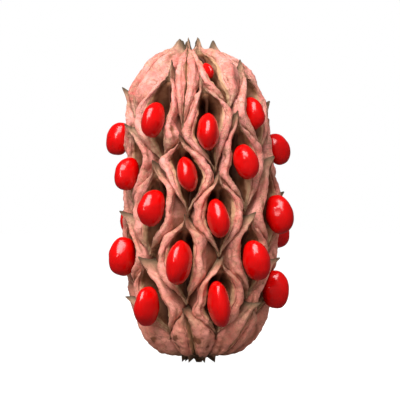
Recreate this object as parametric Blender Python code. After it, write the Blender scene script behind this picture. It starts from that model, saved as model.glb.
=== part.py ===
# Magnolia fruit cone: one grown cone of split pods in a spiral, and one loose red seed in each open pod.
# Up is +Z, the side seen in front faces -Y, and the flat stalk scar rests at z = 0.

import bpy
import math
import random
import numpy as np
from mathutils import Matrix, Vector
from mathutils.bvhtree import BVHTree

MM = 0.001

# Crest outline of the cone, from the stalk scar to the tip: radius and height in mm
OUTLINE = [
    (5.0, 2.4), (7.4, 1.8), (10.4, 3.0), (13.2, 5.2), (15.6, 8.1), (17.5, 11.8), (19.0, 15.8),
    (20.7, 23.2), (21.5, 30.7), (21.8, 38.0), (21.8, 45.5), (21.5, 52.0), (21.1, 57.4), (20.8, 63.5),
    (20.5, 68.4), (20.1, 72.2), (19.4, 76.0), (18.0, 79.8), (15.7, 83.4), (12.5, 86.8), (8.6, 89.4),
    (4.4, 90.9), (0.0, 91.3),
]

# How far the cone's axis leans sideways at a height, in mm
LEAN_Z = [0.0, 25.0, 45.0, 60.0, 75.0, 94.0]
LEAN_X = [0.0, 0.7, 0.9, 0.3, -0.8, -2.3]

# Spiral: each pod stands two thirteenths of a turn further round and a little higher than the one before
TURN = 360.0 * 2.0 / 13.0
RISE = 1.96
START_ANGLE = 12.0
START_LENGTH = 62.4
FIRST_NODE = -28
END_NODE = 18
FIRST_POD = FIRST_NODE + 6
LAST_POD = END_NODE + 6

# Where single meeting points are off the spiral: degrees round and mm along the outline
NUDGE = {
    13: (-7.0, 0.0), 6: (2.0, -3.2), 0: (1.0, -2.0), -7: (4.0, -0.4), -13: (3.0, -0.5),
    12: (22.0, 6.0), -1: (8.0, 3.0), -14: (-6.0, 1.3), 7: (-9.0, 1.2), -6: (-1.0, -1.8),
    14: (-4.0, 3.1), 5: (3.0, 1.8), 11: (12.0, 0.2), 8: (-13.0, 2.5), 1: (-4.0, 0.4),
    -12: (3.0, -3.0), -19: (9.0, -1.6), -21: (-7.0, 3.6), -20: (2.0, -1.2), -26: (8.0, 0.0),
    -27: (6.0, 2.0), -25: (0.0, 3.5), -8: (-5.0, 2.4), -2: (0.0, 3.0), -5: (0.0, 2.0),
}

# Pods that stay shut: around the tip, around the stalk scar and a few between; SLIT is barely open
SHUT = set(range(FIRST_POD, FIRST_POD + 7)) | {-15, 15, 16, 17, 18, 19, 21, 22, 23, 24}
SLIT = {20}

# Where a pod at the tip has its beak, as a share of its length, and pods whose opening lies off their middle
TIP_BEAK = {21: 0.80}
OFF_MIDDLE = {20: -3.0, 12: 1.2, -1: 1.7, 7: -1.2, -13: -0.9, 14: 0.8, 5: 0.8}

GROOVE = 4.2
SIDE_LIMIT = 7.4
SEAM = 0.36
OPENING = 4.0
CAVITY_DEPTH = 3.4
SCAR_RADIUS = 5.0
SCAR_NOTCH = 2.6
BEAK = 2.3
THORN = 3.6
THORN_FOOT = 2.6

# Half width of a pod's opening along its length, as a share of OPENING
GAP_SPOT = [0.0, 0.04, 0.10, 0.20, 0.30, 0.40, 0.50, 0.60, 0.70, 0.80, 0.845, 0.87, 1.0]
GAP_SIZE = [0.0, 0.02, 0.15, 0.33, 0.60, 0.87, 1.0, 0.97, 0.80, 0.42, 0.08, 0.0, 0.0]

# Points along each edge between meeting points, and round and up a seed
EDGE_STEPS = 5
SEED_SIDES = 10
SEED_LEVELS = 7
SEED_GAP = 0.32

# Seed half sizes in mm: across, in and out, up and down; and how far its lower end swings outward
SEED_ACROSS = 3.15
SEED_DEEP = 4.8
SEED_TALL = 5.85
SEED_TILT = 13.0

# Single seeds set by hand, by pod: shift sideways, up and outward in mm, turn, lean, size, extra width
SEED_TUNE = {
    13: (-0.3, -1.7, 0.0, 0, 0, 0.96, 1.07), 6: (-0.4, 0.8, 0.0, 0, -15, 0.92, 1.02),
    0: (-0.6, -0.4, 0.0, 0, -8, 1.0, 1.03), -7: (0.7, 0.6, 0.3, 0, 8, 1.12, 1.04),
    -13: (-0.6, 0.1, 0.0, 0, -9, 1.15, 0.88), 12: (0.9, -2.0, 0.0, 0, 6, 0.9, 1.1),
    -1: (1.2, 1.0, 0.2, -20, 8, 0.97, 1.15), -14: (0.8, -0.4, 0.4, 0, 8, 1.0, 1.0),
    7: (-0.5, 0.8, 0.3, 10, -8, 0.93, 1.1), -6: (-1.1, 0.0, 0.2, 10, -12, 1.02, 1.1),
    5: (0.3, -1.0, -0.5, 0, 0, 0.88, 1.0), -2: (0.0, 0.5, -2.0, 0, 0, 0.8, 0.9),
    -8: (-1.0, 0.1, 0.9, 0, 0, 0.98, 1.1), 1: (0.6, -1.2, 0.2, 0, 0, 1.0, 1.0),
    -5: (0.0, 3.0, -2.2, 0, 0, 0.8, 0.9), 14: (-1.3, -1.0, -0.5, 0, 0, 0.84, 0.95),
    11: (0.0, -1.9, 0.8, 0, 0, 0.84, 1.1), 8: (0.0, 0.3, 0.8, 0, 0, 0.84, 1.1),
    -12: (0.0, 1.3, 0.3, 0, 0, 0.96, 1.0), 20: (-0.7, 0.4, -0.5, 0, -15, 0.54, 0.75),
    3: (0.0, 0.0, -0.3, 5, 4, 0.92, 1.0),
}


def smooth(a, b, x):
    u = np.clip((np.asarray(x, float) - a) / (b - a), 0.0, 1.0)
    return u * u * (3.0 - 2.0 * u)


def soft_min(a, b, width=1.2):
    u = np.clip(0.5 + 0.5 * (b - a) / width, 0.0, 1.0)
    return b + (a - b) * u - width * u * (1.0 - u)


def blend(a, b, share):
    return a + (b - a) * share


def outline_curve():
    # Smooth curve through the outline, with its length, position and outward direction
    p = np.array(OUTLINE)
    p = np.vstack([2 * p[0] - p[1], p, [-p[-2][0], p[-2][1]]])
    pts = []
    for i in range(1, len(p) - 2):
        for u in np.linspace(0.0, 1.0, 12, endpoint=False):
            a, b, c, d = p[i - 1], p[i], p[i + 1], p[i + 2]
            pts.append(0.5 * (2 * b + (c - a) * u + (2 * a - 5 * b + 4 * c - d) * u * u
                              + (3 * b - a - 3 * c + d) * u ** 3))
    pts.append(p[-2])
    pts = np.array(pts)
    step = np.hypot(*np.diff(pts, axis=0).T)
    length = np.concatenate([[0.0], np.cumsum(step)])
    tangent = np.gradient(pts, length, axis=0)
    tangent /= np.hypot(tangent[:, 0], tangent[:, 1])[:, None]
    return length, pts[:, 0], pts[:, 1], tangent[:, 1], -tangent[:, 0]


LENGTH, CREST_R, CREST_Z, OUT_R, OUT_Z = outline_curve()
FULL = float(LENGTH[-1])


def gap_curve():
    # The opening's half width, smoothed between its given spots
    u = np.linspace(0.0, 1.0, 201)
    g = np.interp(u, GAP_SPOT, GAP_SIZE)
    kernel = np.hanning(13)
    return u, np.convolve(np.pad(g, 6, mode="edge"), kernel / kernel.sum(), mode="valid")


GAP_U, GAP_W = gap_curve()


def radius_at(s):
    return np.interp(s, LENGTH, CREST_R)


def groove_at(s):
    # Groove depth below the crests, shallower towards both ends
    low_end = smooth(-8.0, 16.0, s)
    high_end = smooth(0.0, 26.0, FULL - np.asarray(s, float))
    return GROOVE * (0.12 + 0.88 * low_end) * (0.45 + 0.55 * high_end)


def place(angle, s, out):
    # Points at angles, lengths along the outline and distances outward from the crest surface, in mm
    r = np.interp(s, LENGTH, CREST_R) + out * np.interp(s, LENGTH, OUT_R)
    z = np.interp(s, LENGTH, CREST_Z) + out * np.interp(s, LENGTH, OUT_Z)
    a = np.radians(angle)
    lean = np.interp(z, LEAN_Z, LEAN_X)
    return np.stack([lean + r * np.sin(a), -r * np.cos(a), z], axis=-1)


def seam_out(angle, s):
    # How far outward the seam between pods lies: down in its groove, with thorns near the stalk scar
    lift = np.zeros_like(np.asarray(s, float))
    for m in range(FIRST_NODE, FIRST_NODE + 6):
        turn = (np.asarray(angle, float) - node_angle(m) + 180.0) % 360.0 - 180.0
        away = np.hypot(np.radians(turn) * radius_at(s), s - node_length(m))
        lift = np.maximum(lift, THORN * np.clip(1.0 - away / THORN_FOOT, 0.0, 1.0) ** 1.4)
    return lift - groove_at(s)


def node_angle(m):
    return START_ANGLE + TURN * m + NUDGE.get(m, (0.0, 0.0))[0]


def node_length(m):
    return START_LENGTH + RISE * m + NUDGE.get(m, (0.0, 0.0))[1]


def low(m):
    return m < FIRST_NODE


def high(m):
    return m >= END_NODE


def side_edges(n, side):
    # The one or two edges that bound pod n on one side, from its tail up to its beak
    mid = n - 6 if side > 0 else n - 7
    tail = n - 13
    if low(mid):
        return [("scar", n, 0.0)]
    if high(mid):
        return [(tail, "tip", 720.0)]
    first = ("scar", mid, 360.0) if low(tail) else (tail, mid, 720.0)
    second = (mid, "tip", 360.0) if high(n) else (mid, n, 360.0)
    return [first, second]


def edge_points(edge, steps):
    # Angles and lengths along an edge, which swings over in an S as it climbs
    a, b, turn = edge
    a_ang = node_angle(b) if a == "scar" else node_angle(a)
    a_len = 0.0 if a == "scar" else node_length(a)
    b_ang = a_ang if b == "tip" else node_angle(b)
    b_len = FULL if b == "tip" else node_length(b)
    if a != "scar" and b != "tip":
        b_ang -= 360.0
    u = 1.0 - (1.0 - np.arange(steps + 1) / steps) ** 1.15
    swing = 0.5 * u * u * (3.0 - 2.0 * u) + 0.5 * u ** 1.3
    return a_ang + (b_ang - a_ang) * swing + turn, a_len + (b_len - a_len) * u


def edge_keys(edge, steps):
    # Names of the points along an edge, so that neighbours share them
    a, b, turn = edge
    start = ("scar", b) if a == "scar" else ("node", a)
    end = ("tip",) if b == "tip" else ("node", b)
    return [start] + [("edge", a, b, j) for j in range(1, steps)] + [end]


def pod_side(n, side, steps):
    # Boundary of pod n on one side, tail first: angles, lengths and names
    angles, lengths, keys = [], [], []
    for edge in side_edges(n, side):
        a, s = edge_points(edge, steps)
        start = 1 if keys else 0
        angles += list(a[start:])
        lengths += list(s[start:])
        keys += edge_keys(edge, steps)[start:]
    return np.array(angles), np.array(lengths), keys


def pod_form(n):
    # Small differences from pod to pod, the same on every run
    rng = random.Random(1000 + 37 * n)
    return {
        "opening": OPENING * rng.uniform(0.94, 1.05),
        "lip": rng.uniform(-0.3, 0.4),
        "beak": BEAK * rng.uniform(0.8, 1.25),
        "beak_side": rng.uniform(-0.2, 0.2),
        "left": rng.uniform(-0.3, 0.3),
        "tip": TIP_BEAK.get(n, 0.90),
        "off": OFF_MIDDLE.get(n, 0.0),
    }


def pod_frame(n, steps):
    left = pod_side(n, -1, steps)
    right = pod_side(n, 1, steps)
    return {
        "n": n, "left": left, "right": right, "tail": float(left[1][0]), "top": float(left[1][-1]),
        "fine_left": pod_side(n, -1, 40), "fine_right": pod_side(n, 1, 40),
        "form": pod_form(n), "tip_pod": high(n), "scar_pod": low(n - 13),
    }


def pod_middle(frame, u):
    # Length, middle angle and half width in mm at a share u of the pod's length
    s = frame["tail"] + (frame["top"] - frame["tail"]) * np.asarray(u, float)
    la = np.interp(s, frame["fine_left"][1], frame["fine_left"][0])
    ra = np.interp(s, frame["fine_right"][1], frame["fine_right"][0])
    return s, (la + ra) / 2, np.radians(ra - la) / 2 * radius_at(s)


# Share of the pod's length that each ring spans, and how far short of the beak it ends on tip pods
RING_FIRST = [0.0, 0.012, 0.03, 0.04, 0.05, 0.07, 0.14]
RING_LAST = [1.0, 0.985, 1.0, 0.89, 0.85, 0.83, 0.77]
TIP_SHORT = [-0.10, -0.05, 0.0, 0.07, 0.15, 0.19, 0.27]


def ring_points(frame, side, t, ring):
    # Points of ring 1 to 6 of a pod, and their share of its length, for arrays of side (-1, 0, 1)
    # and t (0 at the tail, 1 at the beak)
    n = frame["n"]
    form = frame["form"]
    is_open = n not in SHUT
    tip = frame["tip_pod"]
    first = RING_FIRST[ring]
    last = form["tip"] - TIP_SHORT[ring] if tip else RING_LAST[ring]
    u = first + (last - first) * t
    s, middle, wide = pod_middle(frame, u)
    depth = groove_at(s)
    size = depth / GROOVE
    outer = np.minimum(soft_min(wide, SIDE_LIMIT * blend(0.8, 1.0, size)), wide - np.minimum(SEAM, 0.3 * wide))
    gap = np.zeros_like(u)
    if is_open:
        gap = form["opening"] * np.interp(u / form["tip"] if tip else u, GAP_U, GAP_W)
        gap = np.minimum(gap, 0.62 * outer)
        if n in SLIT:
            gap = gap * 0.46
    lip = outer - gap
    rise = smooth(0.0, 0.30, u)
    crest = -depth * 0.55 * (1.0 - rise) + form["lip"] * rise * size
    thorn_from = form["tip"] - 0.13 if tip else 0.82
    thorn_to = form["tip"] if tip else 1.0
    thorn = np.clip((u - thorn_from) / (thorn_to - thorn_from), 0.0, 1.0)
    skirt = blend(-depth * 0.60, crest - 1.2 * size, 0.30)
    crest = crest + thorn ** 1.5 * form["beak"]
    deep = smooth(0.12, 0.34, u) * (1.0 - smooth(last - 0.14, last - 0.01, u))
    rim = crest - 1.0 * size
    x, out = {
        1: (outer, skirt),
        2: (gap + np.minimum(0.50 * lip, 1.8), crest + 0.15 * size),
        3: (gap + np.minimum(0.20 * lip, 0.8), crest - 0.25 * size),
        4: (gap, rim),
        5: (gap * 1.03, blend(rim - 0.5 * size, -depth - 0.4, deep)),
        6: (gap * 0.66, blend(rim - 0.8 * size, -depth - CAVITY_DEPTH, deep)),
    }[ring]
    if not is_open and ring == 3:
        x, out = 0.14 * outer, crest - 0.25 * size
    if not is_open and ring == 4:
        x, out = 0.08 * outer, crest - 1.4 * size
    if ring > 1:
        x = x * (1.0 + 0.10 * side * form["left"])
    if ring in (2, 3):
        x = x * (1.0 - 0.25 * thorn)
    x = np.where(side == 0, 0.0, x)
    if ring == 3:
        out = out - np.where(side == 0, 0.3 * size * smooth(0.5, 1.0, t), 0.0)
    shift = np.zeros_like(u)
    if ring > 1:
        shift = np.minimum(np.abs(thorn * form["beak_side"]), 0.35 * wide) * np.sign(form["beak_side"])
        swing = form["off"] * smooth(0.15, 0.42, u) * (1.0 - smooth(0.72, 0.9, u))
        shift = shift + swing * (1.0 - np.clip(x / np.maximum(outer, 0.1), 0.0, 1.0) ** 3)
    angle = middle + np.degrees((side * x + shift) / np.maximum(radius_at(s), 0.4))
    if not tip and ring in (2, 3):
        s = s + 0.7 * thorn ** 2
    return place(angle, s, out), u


def pod_loop(frame):
    # Once round the pod's boundary from its tail: side, share of length, angle, length; and names
    la, ls, lk = frame["left"]
    ra, rs, rk = frame["right"]
    span = frame["top"] - frame["tail"]
    rows, keys = [], []
    if frame["scar_pod"]:
        rows.append((0, 0.0, (la[0] + ra[0]) / 2, 0.0))
        keys.append(("rim", frame["n"]))
        rows.append((1, 0.0, ra[0], 0.0))
        keys.append(rk[0])
    else:
        rows.append((0, 0.0, ra[0], rs[0]))
        keys.append(rk[0])
    for k in range(1, len(rs) - 1):
        rows.append((1, (rs[k] - frame["tail"]) / span, ra[k], rs[k]))
        keys.append(rk[k])
    rows.append((0, 1.0, ra[-1], rs[-1]))
    keys.append(rk[-1])
    stop = 0 if frame["scar_pod"] else 1
    for k in range(len(ls) - 2, stop - 1, -1):
        rows.append((-1, (ls[k] - frame["tail"]) / span, la[k], ls[k]))
        keys.append(lk[k])
    return np.array(rows), keys


def pod_rings(frame):
    # Rings of a pod from its boundary inward: points, share of length, the loop and its names
    loop, keys = pod_loop(frame)
    side, t = loop[:, 0], loop[:, 1]
    rings = [place(loop[:, 2], loop[:, 3], seam_out(loop[:, 2], loop[:, 3]))]
    shares = [t]
    for k in range(1, 5 if frame["n"] in SHUT else 7):
        pts, u = ring_points(frame, side, t, k)
        rings.append(pts)
        shares.append(u)
    return np.array(rings), np.array(shares), loop, keys


def seed_points(size, wide, sides, levels):
    # A seed about its own middle: pointed ends seen from outside, rounder seen from the side
    verts = [(0.0, 0.0, -SEED_TALL * size)]
    for i in range(1, levels):
        u = math.pi * i / levels
        z = -math.cos(u)
        rx = math.sin(u) ** 1.02 * (1.0 - 0.06 * z)
        ry = math.sin(u) ** 0.82 * (1.0 - 0.06 * z)
        for j in range(sides):
            a = 2 * math.pi * (j + 0.5 * (i % 2)) / sides
            inner = 0.78 if math.sin(a) > 0 else 1.0
            x = SEED_ACROSS * size * wide * rx * math.cos(a)
            y = SEED_DEEP * size * ry * math.sin(a) * inner
            verts.append((x, y, SEED_TALL * size * z))
    verts.append((0.0, 0.0, SEED_TALL * size))
    return verts


def seed_faces(sides, levels):
    faces = []
    for j in range(sides):
        faces.append((0, 1 + (j + 1) % sides, 1 + j))
    for i in range(levels - 2):
        a = 1 + i * sides
        b = a + sides
        for j in range(sides):
            k = (j + 1) % sides
            if i % 2 == 0:
                faces.append((a + j, a + k, b + j))
                faces.append((a + k, b + k, b + j))
            else:
                faces.append((a + j, b + k, b + j))
                faces.append((a + j, a + k, b + k))
    top = 1 + (levels - 1) * sides
    base = 1 + (levels - 2) * sides
    for j in range(sides):
        faces.append((top, base + j, base + (j + 1) % sides))
    return faces


def seed_setting(n, push, shrink):
    # Where the seed of pod n sits: its place in mm, its turn, its size and its extra width
    frame = pod_frame(n, EDGE_STEPS)
    rng = random.Random(400 + 11 * n)
    s, angle, half = pod_middle(frame, 0.44 if n in SLIT else 0.49)
    tune = SEED_TUNE.get(n)
    if tune is None:
        tune = (rng.uniform(-0.3, 0.3), rng.uniform(-0.8, 0.8), rng.uniform(-0.2, 0.5),
                rng.uniform(-12, 12), rng.uniform(-8, 8), rng.uniform(0.9, 1.02), 1.0)
    side, up, out, yaw, roll, size, wide = tune
    out = 0.7 + out + push
    size = size * shrink * float(0.82 + 0.18 * smooth(10.0, 19.0, radius_at(s)))
    angle = float(angle + math.degrees((side + OFF_MIDDLE.get(n, 0.0)) / radius_at(s)))
    centre = place(angle, s + up, out)
    ahead = place(angle, s + up + 1.0, out)
    inward = math.atan2(math.hypot(*centre[:2]) - math.hypot(*ahead[:2]), ahead[2] - centre[2])
    turn = Matrix.Rotation(math.radians(angle), 4, "Z")
    turn = turn @ Matrix.Rotation(-inward - math.radians(SEED_TILT), 4, "X")
    turn = turn @ Matrix.Rotation(math.radians(roll), 4, "Y") @ Matrix.Rotation(math.radians(yaw), 4, "Z")
    return Vector(centre), turn, size, wide


def open_pods():
    return [n for n in range(FIRST_POD, LAST_POD + 1) if n not in SHUT]


def stitch(faces, left, right):
    # Fill between two chains that share their ends, lowest first
    i, j = 0, 0
    while i < len(left) - 1 or j < len(right) - 1:
        if j == len(right) - 1 or (i < len(left) - 1 and left[i + 1][0] <= right[j + 1][0]):
            tri = (left[i][1], right[j][1], left[i + 1][1])
            i += 1
        else:
            tri = (left[i][1], right[j][1], right[j + 1][1])
            j += 1
        if len(set(tri)) == 3:
            faces.append(tri)


def add_pod(n, verts, faces, shared):
    # One pod into the skin, on boundary points that it shares with its neighbours; returns the frame
    frame = pod_frame(n, EDGE_STEPS)
    rings, shares, loop, keys = pod_rings(frame)
    rows = []
    first = []
    for key, point in zip(keys, rings[0]):
        if key not in shared:
            shared[key] = len(verts)
            verts.append(tuple(point))
        first.append(shared[key])
    rows.append(first)
    for ring in rings[1:]:
        rows.append(list(range(len(verts), len(verts) + len(ring))))
        verts.extend(tuple(point) for point in ring)
    m = len(keys)
    for a, b in zip(rows[:-1], rows[1:]):
        for i in range(m):
            j = (i + 1) % m
            faces.append((a[i], a[j], b[j], b[i]))
    side, t = list(loop[:, 0]), list(loop[:, 1])
    top = max(range(m), key=lambda i: t[i] if side[i] == 0 else -1.0)
    last = rows[-1]
    right = [(t[i], last[i]) for i in range(0, top + 1)]
    left = [(0.0, last[0])] + [(t[i], last[i]) for i in range(m - 1, top - 1, -1)]
    stitch(faces, left, right)
    return frame


def add_scar(verts, faces, shared, angles):
    # Stalk scar: toothed edge of a flat disc under the innermost pods
    ring = sorted(angles, key=lambda key: angles[key] % 360.0)
    wall = []
    for key in ring:
        a = math.radians(angles[key])
        r = SCAR_RADIUS if key[0] == "scar" else SCAR_NOTCH
        wall.append(len(verts))
        verts.append((LEAN_X[0] + r * math.sin(a), -r * math.cos(a), 0.0))
    middle = len(verts)
    verts.append((LEAN_X[0], 0.0, 0.0))
    for i in range(len(ring)):
        j = (i + 1) % len(ring)
        faces.append((shared[ring[j]], shared[ring[i]], wall[i], wall[j]))
        faces.append((wall[j], wall[i], middle))


def build_cone_mesh():
    # The whole cone as one closed skin
    verts, faces, shared, angles = [], [], {}, {}
    for n in range(FIRST_POD, LAST_POD + 1):
        frame = add_pod(n, verts, faces, shared)
        if frame["scar_pod"]:
            left, right = frame["left"], frame["right"]
            angles[left[2][0]] = left[0][0]
            angles[right[2][0]] = right[0][0]
            angles[("rim", n)] = (left[0][0] + right[0][0]) / 2
    add_scar(verts, faces, shared, angles)
    return verts, faces


def make_material(name, colour, roughness):
    material = bpy.data.materials.new(name)
    material.use_nodes = True
    shader = material.node_tree.nodes["Principled BSDF"]
    shader.inputs["Base Color"].default_value = (*colour, 1.0)
    shader.inputs["Roughness"].default_value = roughness
    shader.inputs["Metallic"].default_value = 0.0
    return material


def make_object(name, verts, faces, material, parent):
    mesh = bpy.data.meshes.new(name)
    mesh.from_pydata([tuple(float(c) * MM for c in v) for v in verts], [], faces)
    mesh.update()
    mesh.materials.append(material)
    mesh.shade_smooth()
    obj = bpy.data.objects.new(name, mesh)
    obj.parent = parent
    bpy.context.collection.objects.link(obj)
    return obj


def clearance(cone_tree, cone_points, verts, faces):
    # Smallest gap in mm between a seed and the cone, 0 where they cross
    seed_tree = BVHTree.FromPolygons(verts, faces)
    if cone_tree.overlap(seed_tree):
        return 0.0
    gap = 99.0
    middles = [sum((verts[i] for i in f), Vector()) / len(f) for f in faces]
    for p in verts + middles:
        gap = min(gap, cone_tree.find_nearest(p)[3])
    for p in cone_points:
        hit = seed_tree.find_nearest(p, 1.0)
        if hit[3] is not None:
            gap = min(gap, hit[3])
    return gap


def fitted_seed(n, cone_tree, cone_points):
    # Slide the seed outward and shrink it a little until it hangs free of its pod
    faces = seed_faces(SEED_SIDES, SEED_LEVELS)
    tries = sorted((push + 14.0 * (1.0 - shrink), push, shrink)
                   for push in (0.0, 0.3, 0.6, 0.9, 1.2, 1.6, 2.0)
                   for shrink in (1.0, 0.97, 0.94, 0.91, 0.88, 0.85, 0.82, 0.76, 0.7))
    for cost, push, shrink in tries:
        centre, turn, size, wide = seed_setting(n, push, shrink)
        local = seed_points(size, wide, SEED_SIDES, SEED_LEVELS)
        verts = [centre + turn @ Vector(p) for p in local]
        gap = clearance(cone_tree, cone_points, verts, faces)
        if gap >= SEED_GAP:
            return centre, turn, local, faces
    raise ValueError("no room for the seed of pod %d" % n)


def main():
    for obj in list(bpy.data.objects):
        bpy.data.objects.remove(obj, do_unlink=True)
    root = bpy.data.objects.new("cone_root", None)
    bpy.context.collection.objects.link(root)
    pod_skin = make_material("pod_skin", (0.70, 0.33, 0.27), 0.6)
    seed_skin = make_material("seed_skin", (0.60, 0.001, 0.001), 0.2)
    verts, faces = build_cone_mesh()
    make_object("follicetum", verts, faces, pod_skin, root)
    cone_tree = BVHTree.FromPolygons(verts, faces)
    cone_points = [Vector(v) for v in verts]
    for i, n in enumerate(reversed(open_pods()), start=1):
        centre, turn, local, seed_polys = fitted_seed(n, cone_tree, cone_points)
        seed = make_object("seed_%02d" % i, local, seed_polys, seed_skin, root)
        seed.location = centre * MM
        seed.rotation_euler = turn.to_euler()


main()
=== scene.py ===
# Looks of the magnolia fruit cone: fine pods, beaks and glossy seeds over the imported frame.

import bpy
import math
import random
import numpy as np
from mathutils import Matrix, Vector, noise


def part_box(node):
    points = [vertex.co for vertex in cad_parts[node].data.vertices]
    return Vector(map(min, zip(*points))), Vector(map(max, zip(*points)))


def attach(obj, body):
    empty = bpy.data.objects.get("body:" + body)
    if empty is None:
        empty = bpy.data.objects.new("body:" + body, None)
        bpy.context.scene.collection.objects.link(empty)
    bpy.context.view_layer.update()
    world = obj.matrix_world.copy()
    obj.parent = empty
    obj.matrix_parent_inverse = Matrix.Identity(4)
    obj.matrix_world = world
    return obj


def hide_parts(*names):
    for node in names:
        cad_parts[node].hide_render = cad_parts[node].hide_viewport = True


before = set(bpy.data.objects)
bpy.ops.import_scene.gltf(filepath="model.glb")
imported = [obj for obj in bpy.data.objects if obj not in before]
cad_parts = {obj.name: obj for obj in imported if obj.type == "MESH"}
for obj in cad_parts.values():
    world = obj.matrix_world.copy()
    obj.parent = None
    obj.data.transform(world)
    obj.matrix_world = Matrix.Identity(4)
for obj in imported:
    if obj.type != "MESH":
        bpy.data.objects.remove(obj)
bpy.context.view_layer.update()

MM = 0.001

# Crest outline of the cone, from the stalk scar to the tip: radius and height in mm
OUTLINE = [
    (5.0, 2.4), (7.4, 1.8), (10.4, 3.0), (13.2, 5.2), (15.6, 8.1), (17.5, 11.8), (19.0, 15.8),
    (20.7, 23.2), (21.5, 30.7), (21.8, 38.0), (21.8, 45.5), (21.5, 52.0), (21.1, 57.4), (20.8, 63.5),
    (20.5, 68.4), (20.1, 72.2), (19.4, 76.0), (18.0, 79.8), (15.7, 83.4), (12.5, 86.8), (8.6, 89.4),
    (4.4, 90.9), (0.0, 91.3),
]

# How far the cone's axis leans sideways at a height, in mm
LEAN_Z = [0.0, 25.0, 45.0, 60.0, 75.0, 94.0]
LEAN_X = [0.0, 0.7, 0.9, 0.3, -0.8, -2.3]

# Spiral: each pod stands two thirteenths of a turn further round and a little higher than the one before
TURN = 360.0 * 2.0 / 13.0
RISE = 1.96
START_ANGLE = 12.0
START_LENGTH = 62.4
FIRST_NODE = -28
END_NODE = 18
FIRST_POD = FIRST_NODE + 6
LAST_POD = END_NODE + 6

# Where single meeting points are off the spiral: degrees round and mm along the outline
NUDGE = {
    13: (-7.0, 0.0), 6: (2.0, -3.2), 0: (1.0, -2.0), -7: (4.0, -0.4), -13: (3.0, -0.5),
    12: (22.0, 6.0), -1: (8.0, 3.0), -14: (-6.0, 1.3), 7: (-9.0, 1.2), -6: (-1.0, -1.8),
    14: (-4.0, 3.1), 5: (3.0, 1.8), 11: (12.0, 0.2), 8: (-13.0, 2.5), 1: (-4.0, 0.4),
    -12: (3.0, -3.0), -19: (9.0, -1.6), -21: (-7.0, 3.6), -20: (2.0, -1.2), -26: (8.0, 0.0),
    -27: (6.0, 2.0), -25: (0.0, 3.5), -8: (-5.0, 2.4), -2: (0.0, 3.0), -5: (0.0, 2.0),
}

# Pods that stay shut: around the tip, around the stalk scar and a few between; SLIT is barely open
SHUT = set(range(FIRST_POD, FIRST_POD + 7)) | {-15, 15, 16, 17, 18, 19, 21, 22, 23, 24}
SLIT = {20}

# Where a pod at the tip has its beak, as a share of its length, and pods whose opening lies off their middle
TIP_BEAK = {21: 0.80}
OFF_MIDDLE = {20: -3.0, 12: 1.2, -1: 1.7, 7: -1.2, -13: -0.9, 14: 0.8, 5: 0.8}

# Depth of the grooves between pods, widest half width of a pod, half width of the seam, widest half
# width of an opening, the slit's share of it, and depth of a cavity below the groove, in mm
GROOVE = 4.2
SIDE_LIMIT = 7.4
SEAM = 0.24
OPENING = 4.0
SLIT_SHARE = 0.46
CAVITY_DEPTH = 3.4

# Stalk scar: radius at its teeth, radius and height at the notches between them, in mm
SCAR_RADIUS = 5.0
SCAR_NOTCH = 2.6
SCAR_NOTCH_HEIGHT = 2.1

# How far a beak stands out, and height and foot of the thorns near the stalk scar, in mm
BEAK = 2.3
THORN = 3.6
THORN_FOOT = 2.6

# Half width of a pod's opening along its length, as a share of OPENING
GAP_SPOT = [0.0, 0.04, 0.10, 0.20, 0.30, 0.40, 0.50, 0.60, 0.70, 0.80, 0.845, 0.87, 1.0]
GAP_SIZE = [0.0, 0.02, 0.15, 0.33, 0.60, 0.87, 1.0, 0.97, 0.80, 0.42, 0.08, 0.0, 0.0]

# How fine the pieces are: points along each edge, rows between the rings, points round and up a seed
EDGE_STEPS = 30
ROWS_OPEN = [7, 9, 8, 6, 7, 4]
ROWS_SHUT = [7, 11, 8, 5]
SEED_SIDES = 48
SEED_LEVELS = 36

# Seed half sizes in mm: across, in and out, up and down; how far its lower end swings outward in
# degrees, and how far its middle stands out from the crests in mm
SEED_ACROSS = 3.15
SEED_DEEP = 4.8
SEED_TALL = 5.85
SEED_TILT = 13.0
SEED_OUT = 0.7

# Single seeds set one by one, by pod: shift sideways, up and outward in mm, turn and lean in
# degrees, size and extra width
SEED_TUNE = {
    13: (-0.3, -1.7, 0.0, 0, 0, 0.96, 1.07), 6: (-0.4, 0.8, 0.0, 0, -15, 0.92, 1.02),
    0: (-0.6, -0.4, 0.0, 0, -8, 1.0, 1.03), -7: (0.7, 0.6, 0.3, 0, 8, 1.12, 1.04),
    -13: (-0.6, 0.1, 0.0, 0, -9, 1.15, 0.88), 12: (0.9, -2.0, 0.0, 0, 6, 0.9, 1.1),
    -1: (1.2, 1.0, 0.2, -20, 8, 0.97, 1.15), -14: (0.8, -0.4, 0.4, 0, 8, 1.0, 1.0),
    7: (-0.5, 0.8, 0.3, 10, -8, 0.93, 1.1), -6: (-1.1, 0.0, 0.2, 10, -12, 1.02, 1.1),
    5: (0.3, -1.0, -0.5, 0, 0, 0.88, 1.0), -2: (0.0, 0.5, -2.0, 0, 0, 0.8, 0.9),
    -8: (-1.0, 0.1, 0.9, 0, 0, 0.98, 1.1), 1: (0.6, -1.2, 0.2, 0, 0, 1.0, 1.0),
    -5: (0.0, 3.0, -2.2, 0, 0, 0.8, 0.9), 14: (-1.3, -1.0, -0.5, 0, 0, 0.84, 0.95),
    11: (0.0, -1.9, 0.8, 0, 0, 0.84, 1.1), 8: (0.0, 0.3, 0.8, 0, 0, 0.84, 1.1),
    -12: (0.0, 1.3, 0.3, 0, 0, 0.96, 1.0), 20: (-0.7, 0.4, -0.5, 0, -15, 0.54, 0.75),
    3: (0.0, 0.0, -0.3, 5, 4, 0.92, 1.0),
}


def smooth(a, b, x):
    u = np.clip((np.asarray(x, float) - a) / (b - a), 0.0, 1.0)
    return u * u * (3.0 - 2.0 * u)


def soft_min(a, b, width=1.2):
    u = np.clip(0.5 + 0.5 * (b - a) / width, 0.0, 1.0)
    return b + (a - b) * u - width * u * (1.0 - u)


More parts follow.
